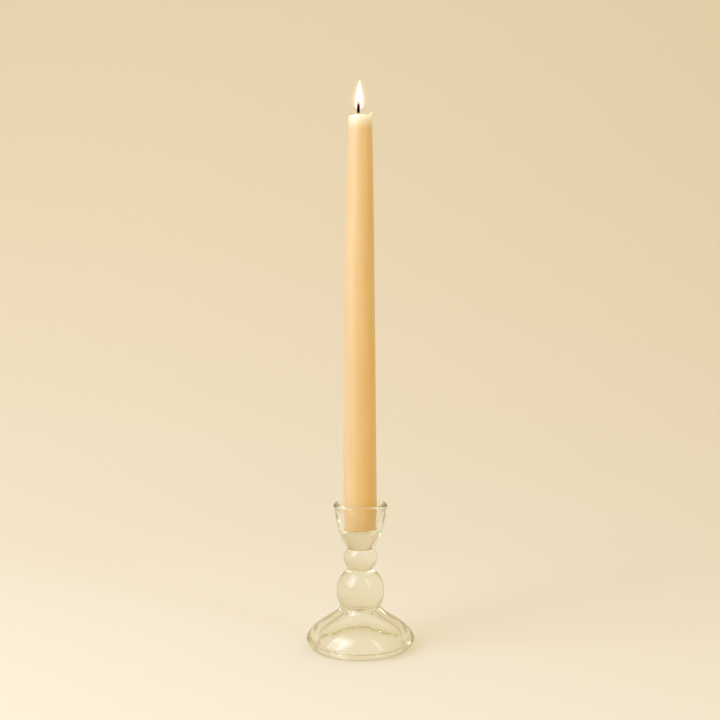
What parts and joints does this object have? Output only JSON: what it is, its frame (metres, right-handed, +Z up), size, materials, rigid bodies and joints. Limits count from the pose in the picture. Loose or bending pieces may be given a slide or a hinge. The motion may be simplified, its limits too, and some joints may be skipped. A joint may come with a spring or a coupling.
{
  "type": "candlestick with taper candle",
  "caption": "Clear pressed-glass candlestick, a cup over a knop and a ball on a hollow bell foot, holding a tall, slightly bowed apricot taper candle with a burnt wick.",
  "frame": {"origin": "centre of the ring on which the foot rests, at table height", "axes": "+Z up along the axis of the candlestick; -Y faces the viewer, +X is to the viewer's right"},
  "size_m": [0.0728, 0.0728, 0.3636],
  "materials": {
    "clear_glass": "clear fire-polished pressed glass with a faint olive tint",
    "apricot_wax": "satin translucent wax",
    "charred_cotton": "charred braided cotton"
  },
  "bodies": {
    "holder": {"glass_candlestick": "clear_glass"},
    "candle": {"taper_candle": "apricot_wax", "wick": "charred_cotton"}
  },
  "joints": [
    {"name": "candle_lift", "type": "slide", "parent": "holder", "child": "candle", "axis": [0, 0, 1], "range_m": [0, 0.05]}
  ]
}
